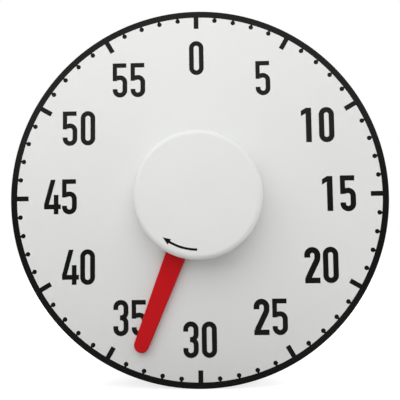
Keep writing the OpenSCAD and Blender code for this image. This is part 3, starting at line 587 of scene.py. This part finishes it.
head_turn = math.degrees(HEAD_L / ARROW_R)
shaft_turn = TIP - TAIL - head_turn * (1 - OVERLAP)
shaft = stroke(ARROW_W, polar(ARROW_R, TAIL), -TAIL, [("turn", ARROW_R, -shaft_turn)])
head, nib = nib_at(Vector((*polar(ARROW_R, TIP - head_turn), 0)), HEAD_W, head_turn - TIP)
tip = bmesh.ops.extrude_edge_only(head, edges=nib)["geom"]
tip = [v for v in tip if isinstance(v, bmesh.types.BMVert)]
bmesh.ops.pointmerge(head, verts=tip, merge_co=(*polar(ARROW_R, TIP), 0))
arrow = joined([shaft, thickened(head)])
print("arrow faces", len(arrow.faces), "face of the knob at y", round(knob_face_y / MM, 2), "mm")
printed("knob_arrow", stand_up(arrow, knob_face_y), "knob_and_main_arbor")

# %% [markdown]
# Two springs inside are thin leaves that bend while what they press on turns:
# one keeps the click in the ratchet, the other holds the hammer off the bell.
# A stiff leaf would be cut by its click or its hammer. Each leaf's solid is
# copied, its loose triangles are welded to one skin, and its long straight is
# divided into short parts. The copy takes the place of the solid, which is
# hidden.

# %% Leaf springs, welded and divided
STRAIGHT = 2        # an edge of a leaf longer than this is divided, mm
CUTS = 7            # into one part more than this


def bending_leaf(name, node):
    """Takes over a leaf spring with a welded and divided copy of its solid, and hides the solid."""
    bm = bmesh.new()
    bm.from_mesh(frame["nodes"][node].data)
    bmesh.ops.remove_doubles(bm, verts=bm.verts, dist=WELD * MM)
    straights = [e for e in bm.edges if e.calc_length() > STRAIGHT * MM]
    bmesh.ops.subdivide_edges(bm, edges=straights, cuts=CUTS)
    bmesh.ops.triangulate(bm, faces=bm.faces)
    print(name, "faces", len(bm.faces), "open edges", sum(not e.is_manifold for e in bm.edges))
    leaf = piece(name, bm, blued_spring)
    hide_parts(node)
    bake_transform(leaf)


bending_leaf(
    "click_leaf", "click_spring")
bending_leaf(
    "hammer_leaf", "hammer_spring")

# %% [markdown]
# The timer is lit as by daylight from a wide window in front of it, above it
# and a little to the left. A wide lamp gives soft shadows: the knob's falls
# down and to the right and fades within a centimetre. The sky adds a little
# light from all round. What the camera and shiny things see of the sky is
# plain white, which the light path tells apart from light on the object.

# %% Sky
SKY_LIGHT = 0.1     # strength of the sky as a light, where 1 is white


def seen_directly(tree):
    """1 for what the camera sees itself or in shiny and clear things, and 0 for light."""
    rays = add(tree, "LightPath").outputs
    seen = add(tree, "Math", {"operation": "MAXIMUM"}, {
        0: rays["Is Camera Ray"], 1: rays["Is Glossy Ray"]})
    seen_too = add(tree, "Math", {"operation": "MAXIMUM"}, {
        0: seen.outputs[0], 1: rays["Is Transmission Ray"]})
    return seen_too.outputs[0]


world = bpy.data.worlds.new("studio")
scene.world = world
world.use_nodes = True
world.node_tree.nodes.clear()
tree = world.node_tree
sky = add(tree, "Background", inputs={"Color": linear("#FFFFFF"), "Strength": SKY_LIGHT})
paper = add(tree, "Background", inputs={"Color": linear("#FFFFFF"), "Strength": 1})
both = add(tree, "MixShader", inputs={
    0: seen_directly(tree), 1: sky.outputs[0], 2: paper.outputs[0]})
add(tree, "OutputWorld", inputs={"Surface": both.outputs[0]})
print("sky lights the object with", sky.inputs["Strength"].default_value)

# %% [markdown]
# Each lamp is a softbox: a flat panel that shines from one side. The window is
# four times as wide as the dial, a small panel far to the right lightens the
# shadows a little, and the third lights the timer's back, which little else
# reaches. The panels are hidden from the camera, so that none shows when the
# timer is seen from above.

# %% Softboxes
LIT_POINT = (0, -20, 0)     # where all the lamps aim, mm


def softbox(name, at, size, watts):
    """A flat lamp at a place, so wide and high, in mm, that faces the timer."""
    lamp = bpy.data.objects.new(name, bpy.data.lights.new(name, "AREA"))
    lamp.data.shape = "RECTANGLE"
    lamp.data.size, lamp.data.size_y = Vector(size) * MM
    lamp.data.energy = watts
    lamp.location = Vector(at) * MM
    lamp.rotation_euler = (Vector(LIT_POINT) - Vector(at)).to_track_quat("-Z", "Y").to_euler()
    lamp.visible_camera = False
    scene.collection.objects.link(lamp)


softbox("window", (-74, -269, 240), (700, 494), 1.954)
softbox("side_panel", (500, -88.5, 100), (330, 273), 0.585)
softbox("lamp_behind", (300, 500, 400), (800, 500), 3.4)

# %% [markdown]
# The timer stands on a wide white sheet, which is one large square just under
# the lowest point of the case. The gap keeps the two surfaces from flickering
# into each other, and is too small to be seen.

# %% Floor
FLOOR_HALF = 3000   # from the middle of the sheet to its edges, mm
FLOOR_GAP = 0.2     # between the sheet and the lowest point of the timer, mm

floor_bm = bmesh.new()
bmesh.ops.create_grid(floor_bm, x_segments=1, y_segments=1, size=FLOOR_HALF * MM)
floor_z = cad_box[0].z - FLOOR_GAP * MM
bmesh.ops.translate(floor_bm, vec=(0, 0, floor_z), verts=floor_bm.verts)
floor_mesh = bpy.data.meshes.new("floor")
floor_bm.to_mesh(floor_mesh)
floor_bm.free()
floor = bpy.data.objects.new("floor", floor_mesh)
scene.collection.objects.link(floor)
print("floor at z", round(floor_mesh.vertices[0].co.z / MM, 2), "mm")

# %% [markdown]
# A diffuse shader gives the sheet a soft shadow under the timer, and a little
# glow, which only the camera and reflections see, lifts it to paper white. The
# glow grows with the distance from the timer, where the lamps fade, so that no
# horizon shows. Close under the timer the sheet itself is greyer, so that it
# throws less light up on the dial. Both go by the distance from the timer's
# middle, which is 90 mm above the sheet.

# %% White sheet
GREYER = (50, 200)  # distances between which the tone goes from grey to pale, mm
LIFTED = (0, 500)   # distances between which the glow grows, mm
GLOW = (0.75, 1)    # the glow at those distances, where 1 is white

made, tree, place = start_material("white_floor")
away = add(tree, "VectorMath", {"operation": "LENGTH"}, {0: place})
paling = add(tree, "MapRange", {"interpolation_type": "SMOOTHSTEP"}, {
    "Value": away.outputs["Value"], "From Min": LIFTED[0] * MM, "From Max": LIFTED[1] * MM,
    "To Min": GLOW[0], "To Max": GLOW[1]})
lift = add(tree, "Math", {"operation": "MULTIPLY"}, {
    0: seen_directly(tree), 1: paling.outputs["Result"]})
around = add(tree, "MapRange", {"interpolation_type": "SMOOTHSTEP"}, {
    "Value": away.outputs["Value"], "From Min": GREYER[0] * MM, "From Max": GREYER[1] * MM,
    "To Min": 0, "To Max": 1})
tone = add(tree, "Mix", {"data_type": "RGBA"}, {
    "Factor": around.outputs["Result"], "A": linear("#989898"), "B": linear("#DADADA")})
matt = add(tree, "BsdfDiffuse", inputs={"Color": tone.outputs["Result"]})
glow = add(tree, "Emission", inputs={"Color": linear("#FFFFFF"), "Strength": lift.outputs[0]})
laid = add(tree, "AddShader", inputs={0: matt.outputs[0], 1: glow.outputs[0]})
end_material(tree, laid.outputs[0])
floor_mesh.materials.append(made)
print("made", made.name)

# %% [markdown]
# At the end the scene is brought up to date.

# %% End
bpy.context.view_layer.update()
